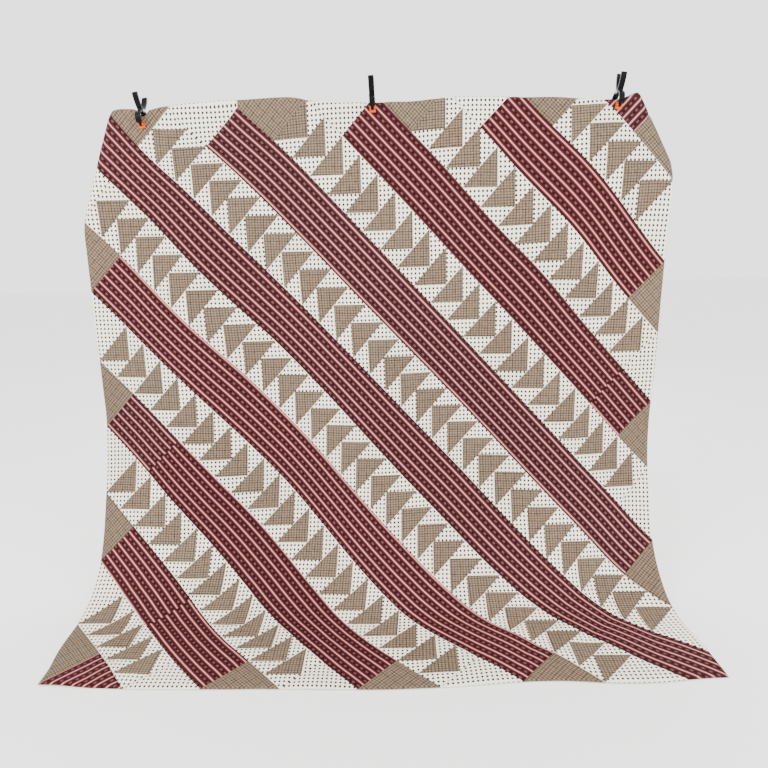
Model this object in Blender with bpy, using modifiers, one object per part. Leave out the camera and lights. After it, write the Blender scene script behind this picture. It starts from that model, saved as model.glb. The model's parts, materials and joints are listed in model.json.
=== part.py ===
"""A pieced bed quilt held by three spring clamps on a telescoping display rack.

All sizes are in metres and +Z is up. The quilt's face looks along -Y. While the model is
made, the floor is z = 0, the quilt hangs in the plane y = 0 and x = 0 is its middle; the
last step moves everything so that the middle of the whole footprint is at the origin.
"""
import math

import bmesh
import bpy
from mathutils import Matrix, Vector

# ---------------------------------------------------------------- driving dimensions
GAP = 0.0003                 # between faces that touch on the real object

# Quilt: 17.5 strip widths along each diagonal of a square
STRIP = 0.160                # one finished diagonal strip
QUILT_SIDE = 17.5 * STRIP / math.sqrt(2.0)
TOP_THICK = 0.0008           # pieced cotton top
BATTING_THICK = 0.0026       # cotton batting
BACKING_THICK = 0.0008       # plain cotton backing
LAYER_GAP = 0.0004
ACROSS = 0.959               # hung on the bias the cloth narrows
DOWN = 1.041                 # and lengthens
HEM_RISE = 0.046             # top hem above the rail's centre line
BEND_LENGTH = 1.17           # cloth in the sweep from hanging to lying
BEND_POWER = 3.0             # the sweep tightens towards the floor
WAVE_DEPTH = 0.014           # soft vertical folds
WAVE_LENGTH = 0.62
CORNER_LEFT = (0.147, 0.336)   # the corners past the rail's ends fold behind, along a line
CORNER_RIGHT = (0.133, 0.235)  # this far across the top hem and this far down the side
CORNER_RADIUS = 0.030
CORNER_TURN = math.radians(108.0)

# Rail
RAIL_Z = 1.560
RAIL_RADIUS = 0.010
RAIL_WALL = 0.0015
RAIL_ENDS = (-0.770, 0.770)  # without the end caps
RAIL_JOIN = 0.265            # joints between the three sections, from the middle
JOINER_HALF = 0.060
CAP_THICK = 0.003

# Uprights and bases
UPRIGHT_X = 0.620
UPRIGHT_BACK = 0.058         # uprights stand this far behind the rail
LOWER_RADIUS = 0.0175
LOWER_WALL = 0.0016
UPPER_RADIUS = 0.0152
UPPER_WALL = 0.0015
COLLAR_TOP = 1.440
COLLAR_HEIGHT = 0.070
PLATE_X = 0.260
PLATE_Y = 0.380
PLATE_THICK = 0.008
PAD_HEIGHT = 0.005
PAD_RADIUS = 0.012
SPIGOT_HEIGHT = 0.120
BOLT_RADIUS = 0.005
BOLT_DEPTH = 0.030
KNOB_RADIUS = 0.019
KNOB_THICK = 0.014
STUD_RADIUS = 0.004

# Spring clamps, drawn closed with the pivot at (0, 0)
LEVER_WIDTH = 0.017
TIP_DOWN = 0.0465            # jaw tip below the pivot
TIP_RADIUS = 0.0038
TIP_HALF = 0.0045            # half width of the round jaw tip
HANDLE_TIP = (-0.0329, 0.0460)
EAR_RADIUS = 0.008
PIN_RADIUS = 0.0022
TONGUE_HALF = 0.0053         # half width of the rear lever's tongue
SPRING_HALF = 0.0029         # half width of the slot for the spring
SPRING_RADIUS = 0.0040
SPRING_WIRE = 0.0007
JAW_PAD_WIDTH = 0.019
JAW_PAD_HEIGHT = 0.022
JAW_PAD_THICK = 0.0034
JAW_PAD_FACE = 0.0080        # pad face from its swivel pin
JAW_PIN_RADIUS = 0.0015

STACK_HALF = (TOP_THICK + BATTING_THICK + BACKING_THICK) / 2 + LAYER_GAP
RAIL_Y = STACK_HALF + GAP + RAIL_RADIUS
UPRIGHT_Y = RAIL_Y + UPRIGHT_BACK
HEM_Z = RAIL_Z + HEM_RISE
PLATE_TOP = PAD_HEIGHT + PLATE_THICK
LOWER_TOP = COLLAR_TOP - 0.040
TIP_OUT = JAW_PAD_FACE + GAP     # jaw tip from the clamp's middle when the pads meet

# name, x, pads above the rail's centre, turn about the vertical, lean to +X, grips the rail itself
CLAMPS = (("clamp_left", -0.710, -0.022, math.radians(-8.0), math.radians(-6.0), False),
          ("clamp_middle", 0.016, 0.004, 0.0, math.radians(-2.0), True),
          ("clamp_right", 0.772, -0.008, math.radians(3.0), math.radians(6.0), True))
HEM_ABOVE_PADS = 0.026       # inside a clamp's jaws the hem sits this far above the pads
PINCH_HALF = 0.045           # half width of the dip that a clamp makes in the hem
PINCH_DOWN = 0.120           # and how far down the cloth it is felt

# name: colour, roughness, metallic
MATERIALS = {
    "pieced_cotton": ((0.40, 0.26, 0.22), 0.90, 0.0),
    "batting": ((0.86, 0.83, 0.75), 0.95, 0.0),
    "backing_cotton": ((0.78, 0.72, 0.62), 0.90, 0.0),
    "black_tube": ((0.03, 0.03, 0.035), 0.45, 0.6),
    "black_plate": ((0.04, 0.04, 0.045), 0.55, 0.5),
    "black_nylon": ((0.012, 0.013, 0.017), 0.40, 0.0),
    "orange_pad": ((0.80, 0.22, 0.04), 0.50, 0.0),
    "rubber": ((0.02, 0.02, 0.02), 0.85, 0.0),
    "steel": ((0.55, 0.56, 0.58), 0.30, 1.0),
}


# ---------------------------------------------------------------- scene and helpers
def start_scene():
    for old in list(bpy.data.objects):
        bpy.data.objects.remove(old, do_unlink=True)
    parts = bpy.data.collections.new("quilt_on_a_rack")
    cutters = bpy.data.collections.new("cutters")
    bpy.context.scene.collection.children.link(parts)
    bpy.context.scene.collection.children.link(cutters)
    return parts, cutters


PARTS, CUTTERS = start_scene()


def material(name):
    found = bpy.data.materials.get(name)
    if found:
        return found
    colour, roughness, metallic = MATERIALS[name]
    made = bpy.data.materials.new(name)
    made.use_nodes = True
    shader = made.node_tree.nodes["Principled BSDF"]
    shader.inputs["Base Color"].default_value = (*colour, 1.0)
    shader.inputs["Roughness"].default_value = roughness
    shader.inputs["Metallic"].default_value = metallic
    return made


def add_part(name, mesh, finish, matrix=None):
    """Puts a mesh in the model as one named piece."""
    piece = bpy.data.objects.new(name, mesh)
    PARTS.objects.link(piece)
    mesh.materials.clear()
    mesh.materials.append(material(finish))
    piece.matrix_world = matrix or Matrix.Identity(4)
    return piece


def to_mesh(name, build):
    """Runs build on a new bmesh and returns it as a mesh."""
    work = bmesh.new()
    build(work)
    mesh = bpy.data.meshes.new(name)
    work.to_mesh(mesh)
    work.free()
    return mesh


def along(axis):
    """Turns local Z to point along the axis."""
    return Vector((0, 0, 1)).rotation_difference(Vector(axis)).to_matrix().to_4x4()


def cylinder_mesh(name, radius, start, end, sides=24):
    """A capped cylinder between two points."""
    start, end = Vector(start), Vector(end)
    place = Matrix.Translation((start + end) / 2) @ along(end - start)
    depth = (end - start).length

    def build(work):
        bmesh.ops.create_cone(work, cap_ends=True, segments=sides, radius1=radius,
                              radius2=radius, depth=depth, matrix=place)
    return to_mesh(name, build)


def box_mesh(name, low, high):
    low, high = Vector(low), Vector(high)
    place = Matrix.Translation((low + high) / 2) @ Matrix.Diagonal((*(high - low), 1.0))

    def build(work):
        bmesh.ops.create_cube(work, size=1.0, matrix=place)
    return to_mesh(name, build)


def cutter(name, mesh, matrix=None):
    tool = bpy.data.objects.new(name, mesh)
    CUTTERS.objects.link(tool)
    tool.matrix_world = matrix or Matrix.Identity(4)
    tool.hide_render = True
    tool.display_type = "WIRE"
    return tool


def combine(piece, tool, operation):
    change = piece.modifiers.new(tool.name, "BOOLEAN")
    change.operation = operation
    change.object = tool
    return piece


def turned(name, profile, finish, matrix, steps=24, closed=False):
    """A profile of (radius, height) points turned about the piece's own Z axis."""
    count = len(profile)
    edges = [(i, i + 1) for i in range(count - 1)]
    if closed:
        edges.append((count - 1, 0))
    mesh = bpy.data.meshes.new(name)
    mesh.from_pydata([(r, 0.0, z) for r, z in profile], edges, [])
    piece = add_part(name, mesh, finish, matrix)
    screw = piece.modifiers.new("turn", "SCREW")
    screw.steps = steps
    screw.render_steps = steps
    screw.use_merge_vertices = True
    screw.merge_threshold = 0.00005
    screw.use_smooth_shade = False
    return piece


def tube(name, radius, wall, start, end, finish):
    """A round tube with open ends."""
    start, end = Vector(start), Vector(end)
    length = (end - start).length
    profile = [(radius, length), (radius, 0.0), (radius - wall, 0.0), (radius - wall, length)]
    return turned(name, profile, finish, Matrix.Translation(start) @ along(end - start), closed=True)


def outline_mesh(name, outline, thickness):
    """A flat outline of (y, z) points made into a slab of that thickness along X."""
    curve = bpy.data.curves.new(name, "CURVE")
    curve.dimensions = "2D"
    curve.fill_mode = "BOTH"
    curve.extrude = thickness / 2
    line = curve.splines.new("POLY")
    line.points.add(len(outline) - 1)
    for point, (y, z) in zip(line.points, outline):
        point.co = (y, z, 0.0, 1.0)
    line.use_cyclic_u = True
    drawn = bpy.data.objects.new(name, curve)
    PARTS.objects.link(drawn)
    bpy.context.view_layer.update()
    mesh = bpy.data.meshes.new_from_object(drawn.evaluated_get(bpy.context.evaluated_depsgraph_get()))
    bpy.data.objects.remove(drawn, do_unlink=True)
    stand_up = Matrix(((0, 0, 1, 0), (1, 0, 0, 0), (0, 1, 0, 0), (0, 0, 0, 1)))
    work = bmesh.new()
    work.from_mesh(mesh)
    bmesh.ops.remove_doubles(work, verts=work.verts, dist=0.00001)
    bmesh.ops.transform(work, matrix=stand_up, verts=work.verts)
    work.to_mesh(mesh)
    work.free()
    return mesh


# ---------------------------------------------------------------- the draped quilt
class Drape:
    """Where each point of the flat quilt lies: u across from its middle, v down from the hem."""

    STEPS = 200

    def __init__(self):
        turns = [math.pi / 2 * (i / self.STEPS) ** BEND_POWER for i in range(self.STEPS + 1)]
        step = BEND_LENGTH / self.STEPS
        self.fall, self.reach = [0.0], [0.0]
        for a, b in zip(turns, turns[1:]):
            self.fall.append(self.fall[-1] + step * (math.cos(a) + math.cos(b)) / 2)
            self.reach.append(self.reach[-1] + step * (math.sin(a) + math.sin(b)) / 2)
        self.hang = HEM_Z - STACK_HALF - self.fall[-1]
        self.dips = [(x, HEM_RISE - rise - HEM_ABOVE_PADS) for _, x, rise, _, _, _ in CLAMPS]

    def profile(self, length):
        """Forward reach and height after this length of cloth from the top hem."""
        if length <= self.hang:
            return 0.0, HEM_Z - length
        place = (length - self.hang) / BEND_LENGTH * self.STEPS
        if place >= self.STEPS:
            return self.reach[-1] + length - self.hang - BEND_LENGTH, STACK_HALF
        low = int(place)
        part = place - low
        fall = self.fall[low] + (self.fall[low + 1] - self.fall[low]) * part
        reach = self.reach[low] + (self.reach[low + 1] - self.reach[low]) * part
        return reach, HEM_Z - self.hang - fall

    def corner(self, u, v):
        """Folds the corner past the rail's end: new u, new v and how far back it goes."""
        side = 1.0 if u > 0 else -1.0
        across, down = CORNER_RIGHT if u > 0 else CORNER_LEFT
        length = math.hypot(across, down)
        out_u, out_v = down / length, -across / length
        edge = QUILT_SIDE / 2 - across
        past = (abs(u) - edge) * out_u + v * out_v + CORNER_RADIUS
        if past <= 0:
            return u, v, 0.0
        turn = min(past / CORNER_RADIUS, CORNER_TURN)
        rest = past - turn * CORNER_RADIUS
        out = CORNER_RADIUS * math.sin(turn) + rest * math.cos(turn)
        back = CORNER_RADIUS * (1 - math.cos(turn)) + rest * math.sin(turn)
        return u + side * (out - past) * out_u, v + (out - past) * out_v, back

    def middle(self, u, v):
        """The point on the quilt's mid-thickness surface."""
        flat_u, flat_v, back = self.corner(u, v)
        length = flat_v * DOWN
        reach, height = self.profile(length)
        x = flat_u * ACROSS
        for clamp_x, dip in self.dips:
            near = math.exp(-((x - clamp_x) / PINCH_HALF) ** 4)
            height -= dip * near * max(1 - v / PINCH_DOWN, 0.0)
        grown = min(max((length - 0.15) / 0.9, 0.0), 1.0)
        settled = min(max((height - STACK_HALF) / 0.35, 0.0), 1.0)
        wave = WAVE_DEPTH * grown * settled * math.cos(math.tau * x / WAVE_LENGTH)
        return Vector((x, back - reach - wave, height))


def stations(*runs):
    """Distances made of runs of (end, cells), each evenly divided."""
    places = [0.0]
    for end, cells in runs:
        start = places[-1]
        places += [start + (end - start) * (i + 1) / cells for i in range(cells)]
    return places


def quilt_columns():
    """Grid lines down the quilt: close at the folded corners and at the clamps."""
    left, right = CORNER_LEFT[0] + 0.050, CORNER_RIGHT[0] + 0.050
    even = stations((left, 8), (QUILT_SIDE - right, 13), (QUILT_SIDE, 8))
    even = [u - QUILT_SIDE / 2 for u in even]
    centres = [x / ACROSS for _, x, *_ in CLAMPS]
    kept = [u for u in even if all(abs(u - c) > 0.060 for c in centres)]
    return sorted(kept + [c + step for c in centres for step in (-0.045, -0.015, 0.015, 0.045)])


def quilt_layer(name, drape, low, high, finish):
    """One layer: a grid laid on the drape, thickened from low to high towards the face."""
    columns = quilt_columns()
    rows = stations((CORNER_LEFT[1] + 0.03, 7), (1.10, 4), (QUILT_SIDE, 9))
    across, down = len(columns) - 1, len(rows) - 1

    def build(work):
        bmesh.ops.create_grid(work, x_segments=across, y_segments=down, size=0.5)
        for vert in work.verts:
            i = round((vert.co.x + 0.5) * across)
            j = round((0.5 - vert.co.y) * down)
            vert.co = drape.middle(columns[i], rows[j])
        bmesh.ops.triangulate(work, faces=work.faces, quad_method="FIXED")
    piece = add_part(name, to_mesh(name, build), finish)
    shell = piece.modifiers.new("thickness", "SOLIDIFY")
    shell.thickness = high - low
    shell.offset = (high + low) / (high - low)
    shell.use_even_offset = True
    shell.use_quality_normals = True
    return piece


def quilt():
    """Top, batting and backing, one behind the other."""
    drape = Drape()
    high = STACK_HALF
    for name, thickness, finish in (("quilt_top", TOP_THICK, "pieced_cotton"),
                                    ("quilt_batting", BATTING_THICK, "batting"),
                                    ("quilt_backing", BACKING_THICK, "backing_cotton")):
        quilt_layer(name, drape, high - thickness, high, finish)
        high -= thickness + LAYER_GAP


# ---------------------------------------------------------------- rail
def rail():
    bore = RAIL_RADIUS - RAIL_WALL
    ends = {"rail_left": (RAIL_ENDS[0], -RAIL_JOIN - GAP / 2),
            "rail_middle": (-RAIL_JOIN + GAP / 2, RAIL_JOIN - GAP / 2),
            "rail_right": (RAIL_JOIN + GAP / 2, RAIL_ENDS[1])}
    for name, (start, end) in ends.items():
        tube(name, RAIL_RADIUS, RAIL_WALL, (start, RAIL_Y, RAIL_Z), (end, RAIL_Y, RAIL_Z), "black_tube")
    for name, side, rail_end in (("left", -1, RAIL_ENDS[0]), ("right", 1, RAIL_ENDS[1])):
        middle = Matrix.Translation((side * RAIL_JOIN, RAIL_Y, RAIL_Z)) @ along((side, 0, 0))
        radius = bore - GAP
        turned(f"rail_joiner_{name}",
               [(0, JOINER_HALF), (radius - 0.001, JOINER_HALF), (radius, JOINER_HALF - 0.001),
                (radius, 0.001 - JOINER_HALF), (radius - 0.001, -JOINER_HALF), (0, -JOINER_HALF)],
               "steel", middle, steps=20)
        end = Matrix.Translation((rail_end + side * GAP, RAIL_Y, RAIL_Z)) @ along((side, 0, 0))
        turned(f"rail_end_cap_{name}",
               [(0, CAP_THICK), (RAIL_RADIUS - 0.001, CAP_THICK), (RAIL_RADIUS, CAP_THICK - 0.001),
                (RAIL_RADIUS, 0), (radius, 0), (radius, -0.014), (0, -0.014)],
               "black_nylon", end, steps=24)


# ---------------------------------------------------------------- uprights and bases
def bracket(name, x):
    """A cap on the upright's top with an arm forward to a cradle that the rail lies in."""
    cap_low, cap_high = RAIL_Z - 0.052, RAIL_Z - 0.010
    cradle_radius = RAIL_RADIUS + 0.0045
    arm_low, arm_high = RAIL_Z - 0.034, RAIL_Z - 0.012
    half = 0.014
    piece = add_part(name, cylinder_mesh(name, UPPER_RADIUS + 0.004, (x, UPRIGHT_Y, cap_low),
                                         (x, UPRIGHT_Y, cap_high), 32), "black_nylon")
    arm = box_mesh("arm", (x - half + 0.003, RAIL_Y, arm_low), (x + half - 0.003, UPRIGHT_Y, arm_high))
    rise = cylinder_mesh("cradle", cradle_radius, (x - half, RAIL_Y, RAIL_Z), (x + half, RAIL_Y, RAIL_Z), 32)
    foot = box_mesh("foot", (x - half + 0.001, RAIL_Y - 0.004, arm_low), (x + half - 0.001, RAIL_Y + 0.012, RAIL_Z))
    for mesh in (arm, rise, foot):
        combine(piece, cutter(f"{name}_{mesh.name}", mesh), "UNION")
    seat = cylinder_mesh("seat", RAIL_RADIUS + GAP, (x - 0.03, RAIL_Y, RAIL_Z), (x + 0.03, RAIL_Y, RAIL_Z), 24)
    mouth = box_mesh("mouth", (x - 0.03, RAIL_Y - 0.05, RAIL_Z - 0.002), (x + 0.03, RAIL_Y + 0.0095, RAIL_Z + 0.03))
    front = box_mesh("front", (x - 0.03, RAIL_Y - 0.05, RAIL_Z - 0.05), (x + 0.03, RAIL_Y - 0.006, RAIL_Z + 0.03))
    bore = cylinder_mesh("bore", UPPER_RADIUS + GAP, (x, UPRIGHT_Y, cap_low - 0.01),
                         (x, UPRIGHT_Y, cap_high - 0.004), 24)
    for mesh in (seat, mouth, front, bore):
        combine(piece, cutter(f"{name}_{mesh.name}", mesh), "DIFFERENCE")
    return piece


def collar(name, x):
    """A clamp collar fixed on the lower tube's top, with a boss at the back for the knob."""
    place = Matrix.Translation((x, UPRIGHT_Y, COLLAR_TOP - COLLAR_HEIGHT))
    seat = LOWER_TOP - (COLLAR_TOP - COLLAR_HEIGHT) + GAP
    outer, wide, narrow = LOWER_RADIUS + 0.0055, LOWER_RADIUS + GAP, UPPER_RADIUS + 2 * GAP
    piece = turned(name, [(outer - 0.0015, COLLAR_HEIGHT), (outer, COLLAR_HEIGHT - 0.0015), (outer, 0.0015),
                          (outer - 0.0015, 0), (wide, 0), (wide, seat), (narrow, seat),
                          (narrow, COLLAR_HEIGHT)], "black_nylon", place, steps=32, closed=True)
    height = (LOWER_TOP + COLLAR_TOP) / 2
    back = UPRIGHT_Y + outer
    boss = cylinder_mesh("boss", 0.0095, (x, back - 0.004, height), (x, back + 0.010, height))
    combine(piece, cutter(f"{name}_boss", boss), "UNION")
    hole = cylinder_mesh("hole", STUD_RADIUS + GAP, (x, UPRIGHT_Y, height), (x, back + 0.02, height))
    combine(piece, cutter(f"{name}_hole", hole), "DIFFERENCE")
    knob_face = back + 0.010 + GAP
    stud = knob_face - (UPRIGHT_Y + UPPER_RADIUS + GAP)
    knob_place = Matrix.Translation((x, knob_face, height)) @ along((0, 1, 0))
    turned(name.replace("lock_collar", "lock_knob"),
           [(0, KNOB_THICK), (KNOB_RADIUS - 0.004, KNOB_THICK), (KNOB_RADIUS, KNOB_THICK - 0.004),
            (KNOB_RADIUS, 0.004), (KNOB_RADIUS - 0.003, 0.001), (0.0085, 0), (STUD_RADIUS, 0),
            (STUD_RADIUS, -stud), (0, -stud)], "black_nylon", knob_place, steps=24)


def base(side, x):
    """Flat steel plate, its spigot, the bolt from below and four rubber pads."""
    corner, round_steps = 0.025, 5
    outline = []
    for i, (sx, sy) in enumerate(((1, 1), (-1, 1), (-1, -1), (1, -1))):
        for k in range(round_steps + 1):
            angle = math.pi / 2 * (i + k / round_steps)
            outline.append((sx * (PLATE_X / 2 - corner) + corner * math.cos(angle),
                            sy * (PLATE_Y / 2 - corner) + corner * math.sin(angle)))
    lay_down = Matrix(((0, 1, 0, 0), (0, 0, 1, 0), (1, 0, 0, 0), (0, 0, 0, 1)))
    place = Matrix.Translation((x, UPRIGHT_Y, PAD_HEIGHT + PLATE_THICK / 2)) @ lay_down
    plate = add_part(f"base_plate_{side}", outline_mesh("plate", outline, PLATE_THICK), "black_plate", place)
    hole = cylinder_mesh("hole", BOLT_RADIUS + GAP, (x, UPRIGHT_Y, -0.01), (x, UPRIGHT_Y, 0.03))
    combine(plate, cutter(f"base_plate_{side}_hole", hole), "DIFFERENCE")

    spigot_radius = LOWER_RADIUS - LOWER_WALL - GAP
    bore = BOLT_RADIUS + GAP
    turned(f"spigot_{side}",
           [(0, SPIGOT_HEIGHT), (spigot_radius - 0.002, SPIGOT_HEIGHT), (spigot_radius, SPIGOT_HEIGHT - 0.002),
            (spigot_radius, 0), (bore, 0), (bore, BOLT_DEPTH + 0.002), (0, BOLT_DEPTH + 0.002)],
           "steel", Matrix.Translation((x, UPRIGHT_Y, PLATE_TOP + GAP)))
    head = 0.0035
    under = PAD_HEIGHT - GAP
    turned(f"base_bolt_{side}",
           [(0, PLATE_TOP + BOLT_DEPTH), (BOLT_RADIUS, PLATE_TOP + BOLT_DEPTH), (BOLT_RADIUS, under),
            (0.009, under), (0.009, under - head + 0.001), (0.008, under - head), (0, under - head)],
           "steel", Matrix.Translation((x, UPRIGHT_Y, 0)))

    corners = [(sx, sy) for sy in (-1, 1) for sx in (-1, 1)]
    for i, (sx, sy) in enumerate(corners):
        px, py = x + sx * (PLATE_X / 2 - 0.03), UPRIGHT_Y + sy * (PLATE_Y / 2 - 0.03)
        pad = cylinder_mesh("pad", PAD_RADIUS, (px, py, 0), (px, py, under), 20)
        add_part(f"foot_pad_{side}_{i + 1}", pad, "rubber")


def uprights():
    for side, x in (("left", -UPRIGHT_X), ("right", UPRIGHT_X)):
        base(side, x)
        low = PLATE_TOP + GAP
        tube(f"lower_upright_{side}", LOWER_RADIUS, LOWER_WALL, (x, UPRIGHT_Y, low),
             (x, UPRIGHT_Y, LOWER_TOP), "black_tube")
        tube(f"upper_upright_{side}", UPPER_RADIUS, UPPER_WALL, (x, UPRIGHT_Y, low + SPIGOT_HEIGHT + 0.005),
             (x, UPRIGHT_Y, RAIL_Z - 0.014 - GAP), "black_tube")
        collar(f"lock_collar_{side}", x)
        bracket(f"rail_bracket_{side}", x)


# ---------------------------------------------------------------- spring clamps
def bezier(a, b, c, d, steps):
    """Points along a cubic Bezier, without the last one."""
    points = []
    for i in range(steps):
        t = i / steps
        w = ((1 - t) ** 3, 3 * t * (1 - t) ** 2, 3 * t * t * (1 - t), t ** 3)
        points.append(tuple(sum(k * p[n] for k, p in zip(w, (a, b, c, d))) for n in (0, 1)))
    return points


def lever_outline():
    """The front lever seen from its side: handle above, jaw arm below."""
    root_high, root_low = (-0.0072, 0.0055), (-0.0068, -0.0035)
    line = bezier(HANDLE_TIP, (-0.027, 0.030), (-0.019, 0.015), root_high, 8)
    line += bezier(root_high, (-0.0062, 0.002), (-0.0062, -0.001), root_low, 3)
    mouth = 1.5 * RAIL_RADIUS
    line += bezier(root_low, (-mouth - 0.012, -0.009), (-mouth - 0.019, -0.036), (-TIP_OUT, -TIP_DOWN), 10)
    line.append((-TIP_OUT, -TIP_DOWN))
    last = len(line) - 1
    near, far = [], []
    for i, (y, z) in enumerate(line):
        y0, z0 = line[max(i - 1, 0)]
        y1, z1 = line[min(i + 1, last)]
        length = math.hypot(y1 - y0, z1 - z0)
        across = ((z1 - z0) / length, -(y1 - y0) / length)
        share = i / last
        half = 0.0030 - 0.0008 * share + 0.0006 * math.exp(-((share - 0.45) / 0.12) ** 2)
        near.append((y + across[0] * half, z + across[1] * half))
        far.append((y - across[0] * half, z - across[1] * half))
    return near + far[::-1]


def lever(name, rear, matrix):
    """One lever about its pivot; the rear one is the mirror image, with a tongue for ears."""
    side = -1.0 if rear else 1.0
    outline = [(side * y, z) for y, z in lever_outline()]
    piece = add_part(name, outline_mesh(name, outline, LEVER_WIDTH), "black_nylon", matrix)
    half = LEVER_WIDTH / 2
    ear_half = TONGUE_HALF if rear else half
    clear = EAR_RADIUS + 0.0006

    def tool(label, mesh, operation):
        combine(piece, cutter(f"{name}_{label}", mesh, matrix), operation)
    tip = (-side * TIP_OUT, -TIP_DOWN)
    for label, start, end in (("left", -half - 0.001, -TIP_HALF), ("right", TIP_HALF, half + 0.001)):
        neck = cylinder_mesh("neck", 0.0105, (start, *tip), (end, *tip))
        tool(f"neck_{label}", neck, "DIFFERENCE")
    tool("tip", cylinder_mesh("tip", TIP_RADIUS, (-TIP_HALF, *tip), (TIP_HALF, *tip)), "UNION")
    tool("tip_hole", cylinder_mesh("hole", JAW_PIN_RADIUS + GAP, (-0.02, *tip), (0.02, *tip), 16), "DIFFERENCE")
    if rear:
        for label, start, end in (("left", -half - 0.001, -TONGUE_HALF), ("right", TONGUE_HALF, half + 0.001)):
            tool(f"ear_space_{label}", cylinder_mesh("space", clear, (start, 0, 0), (end, 0, 0)), "DIFFERENCE")
    else:
        inner = TONGUE_HALF + GAP
        tool("tongue_space", cylinder_mesh("space", clear, (-inner, 0, 0), (inner, 0, 0)), "DIFFERENCE")
    if rear:
        tool("tongue", cylinder_mesh("tongue", EAR_RADIUS, (-ear_half, 0, 0), (ear_half, 0, 0)), "UNION")
        tool("coil_space", cylinder_mesh("space", 0.0056, (-SPRING_HALF, 0, 0), (SPRING_HALF, 0, 0)), "DIFFERENCE")
        tool("leg_space", box_mesh("space", (-SPRING_HALF, -0.009, 0.0), (SPRING_HALF, 0.0065, 0.0125)),
             "DIFFERENCE")
    else:
        for label, start, end in (("left", -half, -TONGUE_HALF - GAP), ("right", TONGUE_HALF + GAP, half)):
            tool(f"ear_{label}", cylinder_mesh("ear", EAR_RADIUS, (start, 0, 0), (end, 0, 0)), "UNION")
    tool("pin_hole", cylinder_mesh("hole", PIN_RADIUS + GAP, (-0.02, 0, 0), (0.02, 0, 0), 16), "DIFFERENCE")
    return piece


def pivot_pin(name, matrix):
    half = LEVER_WIDTH / 2
    turned(name, [(0, half + 0.0012), (0.0030, half + 0.0012), (0.0036, half + 0.0006), (0.0036, half + GAP),
                  (PIN_RADIUS, half + GAP), (PIN_RADIUS, -half - GAP), (0.0036, -half - GAP),
                  (0.0036, -half - 0.0006), (0.0030, -half - 0.0012), (0, -half - 0.0012)],
           "steel", matrix @ along((1, 0, 0)), steps=16)


def torsion_spring(name, matrix, handle_angle):
    """Three turns round the pin, with a long leg along the rear handle and a short front one."""
    curve = bpy.data.curves.new(name, "CURVE")
    curve.dimensions = "3D"
    curve.bevel_depth = SPRING_WIRE
    curve.bevel_resolution = 1
    curve.use_fill_caps = True
    turns, per_turn = 2.75, 12
    count = round(turns * per_turn)
    travel = 2 * (SPRING_HALF - SPRING_WIRE - GAP)
    points = []
    for i in range(count + 1):
        angle = -math.tau * turns * i / count
        points.append((-travel / 2 + travel * i / count, SPRING_RADIUS * math.cos(angle),
                       SPRING_RADIUS * math.sin(angle)))
    first, last = points[0], points[-1]
    points.insert(0, (first[0], first[1] + 0.006 * math.sin(handle_angle), 0.006 * math.cos(handle_angle)))
    points.append((last[0], last[1] - 0.003, last[2] + 0.001))
    line = curve.splines.new("POLY")
    line.points.add(len(points) - 1)
    for point, place in zip(line.points, points):
        point.co = (*place, 1.0)
    piece = bpy.data.objects.new(name, curve)
    PARTS.objects.link(piece)
    curve.materials.append(material("steel"))
    piece.matrix_world = matrix


def jaw_pad(name, matrix):
    """A pad with its face at +Y and two lugs behind, on a moulded pin through the jaw tip."""
    half_w, half_h = JAW_PAD_WIDTH / 2, JAW_PAD_HEIGHT / 2
    back, bevel = JAW_PAD_FACE - JAW_PAD_THICK, 0.0015
    outline = [(JAW_PAD_FACE, half_h), (back + bevel, half_h), (back, half_h - bevel),
               (back, bevel - half_h), (back + bevel, -half_h), (JAW_PAD_FACE, -half_h)]
    piece = add_part(name, outline_mesh(name, outline, JAW_PAD_WIDTH), "orange_pad", matrix)
    inner, outer = TIP_HALF + GAP, TIP_HALF + 0.0033
    for label, start, end in (("left", -outer, -inner), ("right", inner, outer)):
        lug = cylinder_mesh("lug", TIP_RADIUS, (start, 0, 0), (end, 0, 0))
        web = box_mesh("web", (start, 0, -TIP_RADIUS), (end, back + 0.001, TIP_RADIUS))
        combine(piece, cutter(f"{name}_lug_{label}", lug, matrix), "UNION")
        combine(piece, cutter(f"{name}_web_{label}", web, matrix), "UNION")
    pin = cylinder_mesh("pin", JAW_PIN_RADIUS, (-outer + 0.001, 0, 0), (outer - 0.001, 0, 0), 16)
    combine(piece, cutter(f"{name}_pin", pin, matrix), "UNION")
    return piece


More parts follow.
